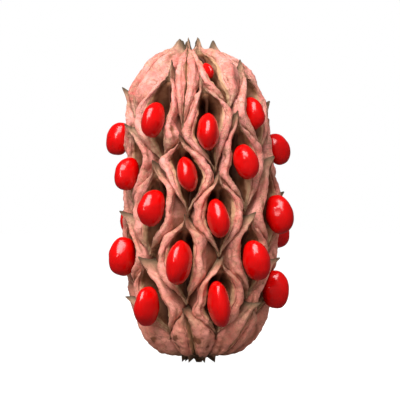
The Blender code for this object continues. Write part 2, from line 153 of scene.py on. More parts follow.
def blend(a, b, share):
    return a + (b - a) * share


def outline_curve():
    # Smooth curve through the outline: its length, radius, height and outward direction
    p = np.array(OUTLINE)
    p = np.vstack([2 * p[0] - p[1], p, [-p[-2][0], p[-2][1]]])
    pts = []
    for i in range(1, len(p) - 2):
        for u in np.linspace(0.0, 1.0, 12, endpoint=False):
            a, b, c, d = p[i - 1], p[i], p[i + 1], p[i + 2]
            pts.append(0.5 * (2 * b + (c - a) * u + (2 * a - 5 * b + 4 * c - d) * u * u
                              + (3 * b - a - 3 * c + d) * u ** 3))
    pts.append(p[-2])
    pts = np.array(pts)
    step = np.hypot(*np.diff(pts, axis=0).T)
    length = np.concatenate([[0.0], np.cumsum(step)])
    tangent = np.gradient(pts, length, axis=0)
    tangent /= np.hypot(tangent[:, 0], tangent[:, 1])[:, None]
    return length, pts[:, 0], pts[:, 1], tangent[:, 1], -tangent[:, 0]


LENGTH, CREST_R, CREST_Z, OUT_R, OUT_Z = outline_curve()
FULL = float(LENGTH[-1])


def gap_curve():
    # The opening's half width, smoothed between its given spots
    u = np.linspace(0.0, 1.0, 201)
    g = np.interp(u, GAP_SPOT, GAP_SIZE)
    kernel = np.hanning(13)
    return u, np.convolve(np.pad(g, 6, mode="edge"), kernel / kernel.sum(), mode="valid")


GAP_U, GAP_W = gap_curve()


def radius_at(s):
    return np.interp(s, LENGTH, CREST_R)


def groove_at(s):
    # Groove depth below the crests, shallower towards both ends
    low_end = smooth(-8.0, 16.0, s)
    high_end = smooth(0.0, 26.0, FULL - np.asarray(s, float))
    return GROOVE * (0.12 + 0.88 * low_end) * (0.45 + 0.55 * high_end)


def place(angle, s, out):
    # Points at angles, lengths along the outline and distances outward from the crest surface, in mm
    r = np.interp(s, LENGTH, CREST_R) + out * np.interp(s, LENGTH, OUT_R)
    z = np.interp(s, LENGTH, CREST_Z) + out * np.interp(s, LENGTH, OUT_Z)
    a = np.radians(angle)
    lean = np.interp(z, LEAN_Z, LEAN_X)
    return np.stack([lean + r * np.sin(a), -r * np.cos(a), z], axis=-1)


def seam_out(angle, s):
    # How far outward the seam between pods lies: down in its groove, with thorns near the stalk scar
    lift = np.zeros_like(np.asarray(s, float))
    for m in range(FIRST_NODE, FIRST_NODE + 6):
        turn = (np.asarray(angle, float) - node_angle(m) + 180.0) % 360.0 - 180.0
        away = np.hypot(np.radians(turn) * radius_at(s), s - node_length(m))
        lift = np.maximum(lift, THORN * np.clip(1.0 - away / THORN_FOOT, 0.0, 1.0) ** 1.4)
    return lift - groove_at(s)


def node_angle(m):
    return START_ANGLE + TURN * m + NUDGE.get(m, (0.0, 0.0))[0]


def node_length(m):
    return START_LENGTH + RISE * m + NUDGE.get(m, (0.0, 0.0))[1]


def low(m):
    return m < FIRST_NODE


def high(m):
    return m >= END_NODE


def side_edges(n, side):
    # The one or two edges that bound pod n on one side, from its tail up to its beak
    mid = n - 6 if side > 0 else n - 7
    tail = n - 13
    if low(mid):
        return [("scar", n, 0.0)]
    if high(mid):
        return [(tail, "tip", 720.0)]
    first = ("scar", mid, 360.0) if low(tail) else (tail, mid, 720.0)
    second = (mid, "tip", 360.0) if high(n) else (mid, n, 360.0)
    return [first, second]


def edge_points(edge, steps):
    # Angles and lengths along an edge, which swings over in an S as it climbs
    a, b, turn = edge
    a_ang = node_angle(b) if a == "scar" else node_angle(a)
    a_len = 0.0 if a == "scar" else node_length(a)
    b_ang = a_ang if b == "tip" else node_angle(b)
    b_len = FULL if b == "tip" else node_length(b)
    if a != "scar" and b != "tip":
        b_ang -= 360.0
    u = 1.0 - (1.0 - np.arange(steps + 1) / steps) ** 1.15
    swing = 0.5 * u * u * (3.0 - 2.0 * u) + 0.5 * u ** 1.3
    return a_ang + (b_ang - a_ang) * swing + turn, a_len + (b_len - a_len) * u


def pod_side(n, side, steps):
    # Boundary of pod n on one side, tail first: angles and lengths
    angles, lengths = [], []
    for edge in side_edges(n, side):
        a, s = edge_points(edge, steps)
        start = 1 if angles else 0
        angles += list(a[start:])
        lengths += list(s[start:])
    return np.array(angles), np.array(lengths)


def pod_form(n):
    # Small differences from pod to pod, the same on every run
    rng = random.Random(1000 + 37 * n)
    return {
        "opening": OPENING * rng.uniform(0.94, 1.05),
        "lip": rng.uniform(-0.3, 0.4),
        "beak": BEAK * rng.uniform(0.8, 1.25),
        "beak_side": rng.uniform(-0.2, 0.2),
        "left": rng.uniform(-0.3, 0.3),
        "tip": TIP_BEAK.get(n, 0.90),
        "off": OFF_MIDDLE.get(n, 0.0),
    }


def pod_layout(n):
    # Pod n's boundary on both sides, its ends, its own small differences and whether it meets an end
    left = pod_side(n, -1, EDGE_STEPS)
    right = pod_side(n, 1, EDGE_STEPS)
    return {
        "n": n, "left": left, "right": right, "tail": float(left[1][0]), "top": float(left[1][-1]),
        "fine_left": pod_side(n, -1, 40), "fine_right": pod_side(n, 1, 40),
        "form": pod_form(n), "tip_pod": high(n), "scar_pod": low(n - 13),
    }


def pod_middle(pod, u):
    # Length, middle angle and half width in mm at a share u of the pod's length
    s = pod["tail"] + (pod["top"] - pod["tail"]) * np.asarray(u, float)
    left = np.interp(s, pod["fine_left"][1], pod["fine_left"][0])
    right = np.interp(s, pod["fine_right"][1], pod["fine_right"][0])
    return s, (left + right) / 2, np.radians(right - left) / 2 * radius_at(s)


# Share of the pod's length that each ring spans, and how far short of the beak it ends on tip pods
RING_FIRST = [0.0, 0.012, 0.03, 0.04, 0.05, 0.07, 0.14]
RING_LAST = [1.0, 0.985, 1.0, 0.89, 0.85, 0.83, 0.77]
TIP_SHORT = [-0.10, -0.05, 0.0, 0.07, 0.15, 0.19, 0.27]


def half_widths(pod, u, wide, size):
    # Half widths in mm of a pod at its foot and of its opening
    form = pod["form"]
    outer = np.minimum(soft_min(wide, SIDE_LIMIT * blend(0.8, 1.0, size)),
                       wide - np.minimum(SEAM, 0.3 * wide))
    if pod["n"] in SHUT:
        return outer, np.zeros_like(u)
    gap = form["opening"] * np.interp(u / form["tip"] if pod["tip_pod"] else u, GAP_U, GAP_W)
    gap = np.minimum(gap, 0.62 * outer)
    return outer, gap * SLIT_SHARE if pod["n"] in SLIT else gap


def beak_share(pod, u):
    # How far up its beak a point of a pod lies, from 0 at the beak's foot to 1 at its tip
    tip = pod["form"]["tip"]
    start, end = (tip - 0.13, tip) if pod["tip_pod"] else (0.82, 1.0)
    return np.clip((u - start) / (end - start), 0.0, 1.0)


def ring_section(pod, ring, u, last, depth, widths, beak):
    # How far a ring lies from the pod's middle and outward from the crest surface, in mm
    form = pod["form"]
    outer, gap = widths
    size = depth / GROOVE
    lip = outer - gap
    rise = smooth(0.0, 0.30, u)
    crest = -depth * 0.55 * (1.0 - rise) + form["lip"] * rise * size
    skirt = blend(-depth * 0.60, crest - 1.2 * size, 0.30)
    crest = crest + beak ** 2.6 * form["beak"]
    deep = smooth(0.12, 0.34, u) * (1.0 - smooth(last - 0.05, last, u))
    rim = crest - 1.0 * size
    if pod["n"] in SHUT and ring == 3:
        return 0.14 * outer, crest - 0.25 * size
    if pod["n"] in SHUT and ring == 4:
        return 0.08 * outer, crest - 1.4 * size
    return {
        1: (outer, skirt),
        2: (gap + np.minimum(0.50 * lip, 1.8), crest + 0.15 * size),
        3: (gap + np.minimum(0.20 * lip, 0.8), crest - 0.25 * size),
        4: (gap, rim),
        5: (gap * 1.03, blend(rim - 0.5 * size, -depth - 0.4, deep)),
        6: (gap * 0.25, blend(rim - 0.8 * size, -depth - CAVITY_DEPTH, deep)),
    }[ring]


def ring_shift(pod, u, x, outer, wide, beak):
    # How far the beak leans to one side, and the opening lies off the pod's middle, in mm
    form = pod["form"]
    shift = np.minimum(np.abs(beak * form["beak_side"]), 0.35 * wide) * np.sign(form["beak_side"])
    swing = form["off"] * smooth(0.15, 0.42, u) * (1.0 - smooth(0.72, 0.9, u))
    return shift + swing * (1.0 - np.clip(x / np.maximum(outer, 0.1), 0.0, 1.0) ** 3)


def ring_points(pod, side, t, ring):
    # Points of ring 1 to 6 of a pod, and their share of its length, for arrays of side (-1, 0, 1)
    # and t (0 at the tail, 1 at the beak)
    first = RING_FIRST[ring]
    last = pod["form"]["tip"] - TIP_SHORT[ring] if pod["tip_pod"] else RING_LAST[ring]
    u = first + (last - first) * t
    s, middle, wide = pod_middle(pod, u)
    depth = groove_at(s)
    size = depth / GROOVE
    beak = beak_share(pod, u)
    widths = half_widths(pod, u, wide, size)
    x, out = ring_section(pod, ring, u, last, depth, widths, beak)
    if ring > 1:
        x = x * (1.0 + 0.10 * side * pod["form"]["left"])
    if ring in (2, 3):
        x = x * (1.0 - 0.5 * beak)
    x = np.where(side == 0, 0.0, x)
    if ring == 3:
        out = out - np.where(side == 0, 0.3 * size * smooth(0.5, 1.0, t), 0.0)
    shift = ring_shift(pod, u, x, widths[0], wide, beak) if ring > 1 else 0.0
    angle = middle + np.degrees((side * x + shift) / np.maximum(radius_at(s), 0.4))
    if not pod["tip_pod"] and ring in (2, 3):
        s = s + 0.7 * beak ** 2
    return place(angle, s, out), u


def pod_loop(pod):
    # Once round the pod's boundary from its tail: side, share of its length, angle and length
    left_angle, left_length = pod["left"]
    right_angle, right_length = pod["right"]
    span = pod["top"] - pod["tail"]
    rows = [(0, 0.0, right_angle[0], right_length[0])]
    if pod["scar_pod"]:
        rows = [(0, 0.0, (left_angle[0] + right_angle[0]) / 2, 0.0), (1, 0.0, right_angle[0], 0.0)]
    for k in range(1, len(right_length) - 1):
        rows.append((1, (right_length[k] - pod["tail"]) / span, right_angle[k], right_length[k]))
    rows.append((0, 1.0, right_angle[-1], right_length[-1]))
    stop = 0 if pod["scar_pod"] else 1
    for k in range(len(left_length) - 2, stop - 1, -1):
        rows.append((-1, (left_length[k] - pod["tail"]) / span, left_angle[k], left_length[k]))
    return np.array(rows)


def pod_rings(pod):
    # Rings of a pod from its boundary inward: points and share of length
    loop = pod_loop(pod)
    side, t = loop[:, 0], loop[:, 1]
    rings = [place(loop[:, 2], loop[:, 3], seam_out(loop[:, 2], loop[:, 3]))]
    shares = [t]
    for k in range(1, 5 if pod["n"] in SHUT else 7):
        pts, u = ring_points(pod, side, t, k)
        rings.append(pts)
        shares.append(u)
    return np.array(rings), np.array(shares)


def seed_points(size, wide, sides, levels):
    # A seed about its own middle: pointed ends seen from outside, rounder seen from the side
    verts = [(0.0, 0.0, -SEED_TALL * size)]
    for i in range(1, levels):
        u = math.pi * i / levels
        z = -math.cos(u)
        rx = math.sin(u) ** 1.02 * (1.0 - 0.06 * z)
        ry = math.sin(u) ** 0.82 * (1.0 - 0.06 * z)
        for j in range(sides):
            a = 2 * math.pi * (j + 0.5 * (i % 2)) / sides
            inner = 0.78 if math.sin(a) > 0 else 1.0
            x = SEED_ACROSS * size * wide * rx * math.cos(a)
            y = SEED_DEEP * size * ry * math.sin(a) * inner
            verts.append((x, y, SEED_TALL * size * z))
    verts.append((0.0, 0.0, SEED_TALL * size))
    return verts


def seed_faces(sides, levels):
    faces = []
    for j in range(sides):
        faces.append((0, 1 + (j + 1) % sides, 1 + j))
    for i in range(levels - 2):
        a = 1 + i * sides
        b = a + sides
        for j in range(sides):
            k = (j + 1) % sides
            if i % 2 == 0:
                faces.append((a + j, a + k, b + j))
                faces.append((a + k, b + k, b + j))
            else:
                faces.append((a + j, b + k, b + j))
                faces.append((a + j, a + k, b + k))
    top = 1 + (levels - 1) * sides
    base = 1 + (levels - 2) * sides
    for j in range(sides):
        faces.append((top, base + j, base + (j + 1) % sides))
    return faces


def seed_setting(n):
    # The seed of pod n: how it is turned, its size and its extra width
    pod = pod_layout(n)
    rng = random.Random(400 + 11 * n)
    s, angle, half = pod_middle(pod, 0.44 if n in SLIT else 0.49)
    tune = SEED_TUNE.get(n)
    if tune is None:
        tune = (rng.uniform(-0.3, 0.3), rng.uniform(-0.8, 0.8), rng.uniform(-0.2, 0.5),
                rng.uniform(-12, 12), rng.uniform(-8, 8), rng.uniform(0.9, 1.02), 1.0)
    side, up, out, yaw, roll, size, wide = tune
    size = size * float(0.82 + 0.18 * smooth(10.0, 19.0, radius_at(s)))
    angle = float(angle + math.degrees((side + OFF_MIDDLE.get(n, 0.0)) / radius_at(s)))
    here = place(angle, s + up, out + SEED_OUT)
    ahead = place(angle, s + up + 1.0, out + SEED_OUT)
    inward = math.atan2(math.hypot(*here[:2]) - math.hypot(*ahead[:2]), ahead[2] - here[2])
    turn = Matrix.Rotation(math.radians(angle), 4, "Z")
    turn = turn @ Matrix.Rotation(-inward - math.radians(SEED_TILT), 4, "X")
    turn = turn @ Matrix.Rotation(math.radians(roll), 4, "Y") @ Matrix.Rotation(math.radians(yaw), 4, "Z")
    return turn, size, wide


def open_pods():
    return [n for n in range(FIRST_POD, LAST_POD + 1) if n not in SHUT]


# Height of the swelling between a pod's groove and its opening, as a share of the width there
SWELL = 0.26

# Folds along a pod, one in its skin and one by its lip: the ring each follows, how far it wanders from
# it, its half width in rings, and its depth in mm; and the depth of the slit above an opening
SKIN_FOLD = (1.45, 0.45, 0.13, 0.26)
LIP_FOLD = (2.80, 0.15, 0.14, 0.18)
SLIT_DEPTH = 0.55

# Where the slit above an opening starts, as a share of the pod's length, and a start that leaves it out
SLIT_START = 0.60
NO_SLIT = 9.0

# How far two seeds sink back between the lips, in mm
SINK = {"seed_01": (-1.1, 1.3, -1.5), "seed_02": (-1.4, 0.6, 0.0)}

# Brown spots seen in front: sideways, height and half width in mm
SPOTS = [(-5.8, 8.4, 0.9), (-0.9, 7.3, 1.1), (-12.7, 7.6, 0.9), (-8.2, 67.3, 0.7), (2.6, 9.8, 0.5)]

# Pods in one piece, and points along each side of a tooth of the scar
BAND = 10
TOOTH_STEPS = 6


def rounded(rings, rows):
    # Smooth rows between the rings, with slopes held back where the rings crowd together
    p = np.array(rings)
    seg = np.diff(p, axis=0)
    size = np.linalg.norm(seg, axis=-1, keepdims=True)
    slope = np.zeros_like(p)
    slope[1:-1] = (seg[:-1] + seg[1:]) / 2
    slope[0] = seg[0]
    slope[-1] = seg[-1]
    limit = np.full(p.shape[:-1] + (1,), 1e9)
    limit[:-1] = np.minimum(limit[:-1], size * 1.25)
    limit[1:] = np.minimum(limit[1:], size * 1.25)
    length = np.linalg.norm(slope, axis=-1, keepdims=True)
    slope *= np.minimum(1.0, limit / np.maximum(length, 1e-9))
    out, place_in = [p[0]], [0.0]
    for k, count in enumerate(rows):
        for i in range(1, count + 1):
            u = i / count
            a = 2 * u ** 3 - 3 * u ** 2 + 1
            b = u ** 3 - 2 * u ** 2 + u
            c = -2 * u ** 3 + 3 * u ** 2
            d = u ** 3 - u ** 2
            out.append(a * p[k] + b * slope[k] + c * p[k + 1] + d * slope[k + 1])
            place_in.append(k + u)
    return np.array(out), np.array(place_in)


def patch_faces(rows, count, flip=False):
    # Quads between the rows of a patch, and a fan that closes its last row; flip turns them over
    pairs = [((j + 1) % count, j) if flip else (j, (j + 1) % count) for j in range(count)]
    quads = [(i * count + a, i * count + b, (i + 1) * count + b, (i + 1) * count + a)
             for i in range(rows - 1) for a, b in pairs]
    last = (rows - 1) * count
    return quads + [(last + a, last + b, rows * count) for a, b in pairs]


def pod_mesh(n):
    # One pod as a patch: points, faces, swelling, and per point its ring, share of length and tone
    pod = pod_layout(n)
    rings, shares = pod_rings(pod)
    if pod["tip_pod"]:
        shares = np.minimum(shares / pod["form"]["tip"], 1.0)
    pts, ring = rounded(rings, ROWS_SHUT if n in SHUT else ROWS_OPEN)
    rows, count = pts.shape[:2]
    verts = np.vstack([pts.reshape(-1, 3), pts[-1].mean(axis=0)])
    along = [np.interp(ring, np.arange(len(shares)), shares[:, j]) for j in range(count)]
    info = np.zeros((len(verts), 4))
    info[:, 0] = np.append(np.repeat(ring, count), ring[-1]) / 6.0
    info[:, 1] = np.append(np.array(along).T.ravel(), 0.5)
    info[:, 2] = random.Random(77 + n).random()
    width = np.linalg.norm(rings[2 if n in SHUT else 3] - rings[1], axis=-1)
    swell = SWELL * np.sin(np.pi * np.clip((ring - 0.9) / 1.5, 0.0, 1.0))
    swelling = np.append((swell[:, None] * width[None, :]).ravel(), 0.0)
    return verts, patch_faces(rows, count), swelling, info


def new_object(name, verts, faces, material, info=None):
    # A smooth mesh from points in mm, with what is known of each point kept as the colour "form"
    mesh = bpy.data.meshes.new(name)
    mesh.from_pydata([tuple(v) for v in np.asarray(verts) * MM], [], faces)
    mesh.update()
    if info is not None:
        layer = mesh.color_attributes.new("form", "FLOAT_COLOR", "POINT")
        layer.data.foreach_set("color", np.asarray(info, np.float32).ravel())
    mesh.materials.append(material)
    mesh.shade_smooth()
    obj = bpy.data.objects.new(name, mesh)
    bpy.context.collection.objects.link(obj)
    return obj


def step(a, b, x):
    u = min(1.0, max(0.0, (x - a) / (b - a)))
    return u * u * (3.0 - 2.0 * u)


def near_ring(fold, ring, bend):
    # How near a point lies to a fold that wanders about its ring, from 0 to 1
    return math.exp(-((ring - fold[0] - fold[1] * bend) / fold[2]) ** 2)


def creases(ring, t, tone, slit_start):
    # How strongly a point lies in the fold of the skin, in the fold by the lip and in the slit
    bend = noise.noise(Vector((t * 5.0, tone, 3.0)))
    fold = near_ring(SKIN_FOLD, ring, bend) * step(-0.25, 0.3, bend)
    edge = near_ring(LIP_FOLD, ring, bend) * (0.6 + 0.8 * step(-0.1, 0.2, bend))
    slit = step(2.7, 3.7, ring) * step(slit_start, slit_start + 0.14, t) * (1.0 - step(0.94, 0.99, t))
    return fold, edge, slit


def wrinkles(q, ring, t, tone):
    # Heights in mm of broad lumps, of wrinkles along the pod, wide and thin, and of fine unevenness
    lumps = noise.noise(q * 0.34) * 0.32 + noise.noise(q * 0.85) * 0.24
    lines = noise.noise(Vector((ring * 3.0, t * 7.0, tone))) * 0.24
    thin = noise.noise(Vector((ring * 6.0, t * 22.0, tone))) * 0.17
    fine = noise.noise(q * 1.7) * 0.12 + noise.noise(q * 3.4) * 0.05
    return lumps, lines, thin, fine


def stain(q):
    # How strongly the brown spots with their ragged edges cover a point
    if q.y >= 0.0:
        return 0.0
    ragged = 1.0 + 0.5 * noise.noise(q * 1.5)
    return sum(0.9 * (1.0 - step(0.5, 1.2, math.hypot(q.x - x, q.z - z) / (half * ragged)))
               for x, z, half in SPOTS)


def roughen(verts, normals, swelling, info, slit_start):
    # Moves the points of a pod along their normals: swollen lobes, folds, wrinkles and small dents, none
    # where pods meet; painted shade in its folds, slit and dents, with the brown spots, goes into info's
    # last column
    out = np.array(verts)
    for i, (p, normal) in enumerate(zip(verts, normals)):
        ring, t, tone = info[i][0] * 6.0, info[i][1], info[i][2] * 40.0
        q = Vector(p)
        hold = min(1.0, ring / 0.8)
        skin = 1.0 - step(4.2, 5.0, ring)
        fold, edge, slit = creases(ring, t, tone, slit_start)
        lumps, lines, thin, fine = wrinkles(q, ring, t, tone)
        calm = 1.0 - 0.75 * step(0.86, 0.97, t)
        swell = swelling[i] * (1.0 - step(0.78, 0.92, t))
        cut = SKIN_FOLD[3] * fold + LIP_FOLD[3] * edge + SLIT_DEPTH * slit
        amount = ((lumps + lines + thin + fine) * calm + swell - cut) * skin + lumps * 0.4 * (1.0 - skin)
        out[i] = p + normal * hold * amount
        # Painted shade: darker where the skin's folds, the slit and the dents cut in; the real brown spots
        # join it below
        crease_shade_and_spots = 0.65 * fold + 0.55 * edge + 0.8 * slit + step(0.08, 0.32, -lines - thin - fine) * 0.8
        info[i][3] = min(1.0, (crease_shade_and_spots + stain(q)) * skin)
    return out


def vertex_normals(verts, faces):
    # Normals of the points, from the quads and triangles round each
    normals = np.zeros_like(verts)
    for size in (3, 4):
        f = np.array([x for x in faces if len(x) == size])
        a = verts[f[:, 2]] - verts[f[:, 0]]
        b = verts[f[:, size - 1]] - verts[f[:, 1]]
        c = np.cross(a, b)
        for k in range(size):
            np.add.at(normals, f[:, k], c)
    length = np.linalg.norm(normals, axis=1, keepdims=True)
    return normals / np.maximum(length, 1e-12)


def make_pods(material):
    # The pods in a few pieces, each a band of the spiral
    numbers = list(range(FIRST_POD, LAST_POD + 1))
    pieces = []
    for start in range(0, len(numbers), BAND):
        all_verts, all_faces, all_info, base = [], [], [], 0
        for n in numbers[start:start + BAND]:
            verts, faces, swelling, info = pod_mesh(n)
            normals = vertex_normals(verts, faces)
            all_verts.append(roughen(verts, normals, swelling, info, NO_SLIT if n in SHUT else SLIT_START))
            all_faces += [tuple(i + base for i in f) for f in faces]
            all_info.append(info)
            base += len(verts)
        name = "pods_%d" % (start // BAND + 1)
        pieces.append(new_object(name, np.vstack(all_verts), all_faces, material, np.vstack(all_info)))
    return pieces


def scar_outline():
    # The pods' lower ends and the scar's foot below them, in teeth and notches, once round
    radius = {}
    for n in range(FIRST_POD, FIRST_POD + 7):
        loop = pod_loop(pod_layout(n))
        radius[loop[0][2] % 360.0] = SCAR_NOTCH
        radius[loop[1][2] % 360.0] = SCAR_RADIUS
    angles = sorted(radius)
    top, foot = [], []
    for i, a in enumerate(angles):
        b = angles[(i + 1) % len(angles)]
        high_ends = place(np.array([a, b]), np.zeros(2), seam_out(np.array([a, b]), np.zeros(2)))
        low_ends = [np.array([LEAN_X[0] + radius[c] * math.sin(math.radians(c)),
                              -radius[c] * math.cos(math.radians(c)),
                              SCAR_NOTCH_HEIGHT if radius[c] == SCAR_NOTCH else 0.0]) for c in (a, b)]
        for k in range(TOOTH_STEPS):
            top.append(blend(high_ends[0], high_ends[1], k / TOOTH_STEPS))
            foot.append(blend(low_ends[0], low_ends[1], k / TOOTH_STEPS))
    return np.array(top), np.array(foot)


def scar_mesh():
    # The flat scar where the stalk was, with a crown of short teeth under the innermost pods
    top, foot = scar_outline()
    flat = np.array([1.0, 1.0, 0.0])
    up = np.array([0.0, 0.0, 1.0])
    rows = [top, top * 0.4 + foot * 0.6, foot, foot * flat * 0.75 + up * 2.0,
            foot * flat * 0.26 + up * 0.9, foot * flat * 0.16]
    verts = np.vstack(rows + [np.zeros((1, 3))])
    return verts, patch_faces(len(rows), len(top), flip=True)


def uneven(point, n):
    # A seed's point moved in or out a little, so that no seed is quite regular
    way = Vector(point).normalized()
    shift = Vector((3.1 * n, 0.0, 0.0))
    broad = 0.075 * noise.noise(way * 1.1 + shift)
    fine = 0.022 * noise.noise(way * 2.6 + shift)
    return Vector(point) * (1.0 + broad + fine)


def fitted(verts, node):
    # Points scaled alike on all sides and moved to the middle of a node's box, in mm
    low_corner, high_corner = (np.array(corner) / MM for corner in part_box(node))
    span = verts.max(axis=0) - verts.min(axis=0)
    share = float(np.min((high_corner - low_corner) / span))
    middle = (verts.max(axis=0) + verts.min(axis=0)) / 2
    return (low_corner + high_corner) / 2 + (verts - middle) * share


def make_seeds(material):
    # A fine seed in place of each seed node, with each point's share of the seed's height kept
    pieces = []
    faces = seed_faces(SEED_SIDES, SEED_LEVELS)
    for i, n in enumerate(reversed(open_pods()), start=1):
        node = "seed_%02d" % i
        turn, size, wide = seed_setting(n)
        local = seed_points(size, wide, SEED_SIDES, SEED_LEVELS)
        verts = fitted(np.array([turn @ uneven(p, n) for p in local]), node)
        verts = verts + np.array(SINK.get(node, (0.0, 0.0, 0.0)))
        info = np.ones((len(verts), 4))
        info[:, 0] = np.array(local)[:, 2] / (2 * SEED_TALL * size) + 0.5
        piece = new_object("fine_%s" % node, verts, faces, material, info)
        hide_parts(node)
        pieces.append(piece)
    return pieces


# Colours of the pods, as linear red, green and blue
PINK = (0.80, 0.345, 0.30)
DEEP_PINK = (0.64, 0.17, 0.14)
LOW_PINK = (0.66, 0.24, 0.15)
GRAIN_BROWN = (0.60, 0.33, 0.22)
SPECK_BROWN = (0.30, 0.12, 0.075)
VEIN_BROWN = (0.33, 0.145, 0.09)
CRACK_BROWN = (0.26, 0.10, 0.055)
# Painted shade in the creases and dents, shared with the real brown spots
SHADE_AND_SPOT_BROWN = (0.18, 0.062, 0.026)
# Painted shade in the groove where pods meet
GROOVE_SHADE_BROWN = (0.14, 0.048, 0.02)
RIM_TAN = (0.50, 0.30, 0.155)
CAVITY_DARK = (0.17, 0.058, 0.025)
CAVITY_LIGHT = (0.36, 0.16, 0.085)
# Painted shade on the floor of each cavity
CAVITY_FLOOR_SHADE = (0.055, 0.014, 0.005)
OLIVE_DARK = (0.17, 0.10, 0.05)
OLIVE_LIGHT = (0.42, 0.28, 0.165)
BEAK_FOOT = (0.30, 0.20, 0.115)
BEAK_TIP = (0.085, 0.06, 0.035)

# Colours of the scar, the seeds, the floor and the lights
SCAR_DARK = (0.20, 0.10, 0.055)
SCAR_LIGHT = (0.46, 0.26, 0.16)
# Seed reds from the bottom to the top of a seed: painted shade, darker low down and lighter on top
SEED_REDS_WITH_PAINTED_SHADE = [(0.0, (0.40, 0.0, 0.0)), (0.5, (0.58, 0.0, 0.0)), (1.0, (0.68, 0.0, 0.0))]
SEED_BLOTCH = (0.46, 0.0, 0.0)
SEED_DOT = (0.16, 0.005, 0.0)
FLOOR_GREY = (0.22, 0.21, 0.20)
WHITE = (1.0, 1.0, 1.0)
WARM = (1.0, 0.97, 0.94)
SKY = (1.0, 0.985, 0.96)

# Turns a height in metres into a share of the cone's height
PER_HEIGHT = 10.6


class Shade:
    # The nodes of one material, and short ways to add to them

    def __init__(self, name):
        self.material = bpy.data.materials.new(name)
        self.material.use_nodes = True
        self.nodes = self.material.node_tree.nodes
        self.links = self.material.node_tree.links
        self.nodes.clear()
        self.out = self.nodes.new("ShaderNodeOutputMaterial")
        self.shader = self.nodes.new("ShaderNodeBsdfPrincipled")
        self.link(self.shader.outputs["BSDF"], self.out.inputs["Surface"])

    def link(self, source, socket):
        self.links.new(source, socket)

    def fill(self, socket, value):
        # Links a socket to another node's output, or sets its constant
        if isinstance(value, bpy.types.NodeSocket):
            self.link(value, socket)
        elif isinstance(value, float):
            socket.default_value = value
        else:
            socket.default_value = (*value, 1.0)

    def space(self):
        return self.nodes.new("ShaderNodeTexCoord").outputs["Object"]

    def form(self):
        # Red, green and alpha parts of the colour kept with each point
        node = self.nodes.new("ShaderNodeAttribute")
        node.attribute_name = "form"
        parts = self.nodes.new("ShaderNodeSeparateColor")
        self.link(node.outputs["Color"], parts.inputs["Color"])
        return parts.outputs["Red"], parts.outputs["Green"], node.outputs["Alpha"]

    def ramp(self, source, stops):
        node = self.nodes.new("ShaderNodeValToRGB")
        for extra in range(len(stops) - 2):
            node.color_ramp.elements.new(0.5)
        for element, (spot, value) in zip(node.color_ramp.elements, stops):
            element.position = spot
            element.color = (value, value, value, 1.0) if isinstance(value, float) else (*value, 1.0)
        self.link(source, node.inputs["Fac"])
        return node.outputs["Color"]

    def mix(self, share, a, b):
        node = self.nodes.new("ShaderNodeMix")
        node.data_type = "RGBA"
        sockets = [s for s in node.inputs if s.enabled]
        for socket, value in zip(sockets, (share, a, b)):
            self.fill(socket, value)
        return [s for s in node.outputs if s.enabled][0]

    def maths(self, kind, a, b):
        node = self.nodes.new("ShaderNodeMath")
        node.operation = kind
        node.use_clamp = kind in ("MULTIPLY", "ADD")
        self.fill(node.inputs[0], a)
        self.fill(node.inputs[1], b)
        return node.outputs["Value"]

    def noise(self, scale, detail, rough, distortion=0.0):
        node = self.nodes.new("ShaderNodeTexNoise")
        node.inputs["Scale"].default_value = scale
        node.inputs["Detail"].default_value = detail
        node.inputs["Roughness"].default_value = rough
        node.inputs["Distortion"].default_value = distortion
        self.link(self.space(), node.inputs["Vector"])
        return node.outputs["Fac"]

    def cells(self, scale):
        # Distance from the edges of a net of cells
        node = self.nodes.new("ShaderNodeTexVoronoi")
        node.feature = "DISTANCE_TO_EDGE"
        node.inputs["Scale"].default_value = scale
        self.link(self.space(), node.inputs["Vector"])
        return node.outputs["Distance"]

    def bump(self, heights, strength, distance):
        node = self.nodes.new("ShaderNodeBump")
        node.inputs["Strength"].default_value = strength
        node.inputs["Distance"].default_value = distance
        self.link(heights, node.inputs["Height"])
        self.link(node.outputs["Normal"], self.shader.inputs["Normal"])


def skin_colour(shade, clouds, grain, specks, cracks):
    # Mottled pink with a fine brown net, specks and cracks, browner towards the stalk scar
    colour = shade.mix(shade.ramp(clouds, [(0.38, 0.0), (0.62, 1.0)]), DEEP_PINK, PINK)
    colour = shade.mix(shade.ramp(grain, [(0.48, 0.0), (0.62, 0.7)]), colour, GRAIN_BROWN)
    colour = shade.mix(shade.ramp(specks, [(0.58, 0.0), (0.70, 0.7)]), colour, SPECK_BROWN)
    net = shade.noise(380.0, 3.0, 0.5, 1.2)
    colour = shade.mix(shade.ramp(net, [(0.465, 0.0), (0.495, 0.7), (0.525, 0.0)]), colour, VEIN_BROWN)
    colour = shade.mix(cracks, colour, CRACK_BROWN)
    axes = shade.nodes.new("ShaderNodeSeparateXYZ")
    shade.link(shade.space(), axes.inputs["Vector"])
    height = shade.maths("MULTIPLY", axes.outputs["Z"], PER_HEIGHT)
    return shade.mix(shade.ramp(height, [(0.0, 0.55), (0.7, 0.0)]), colour, LOW_PINK)


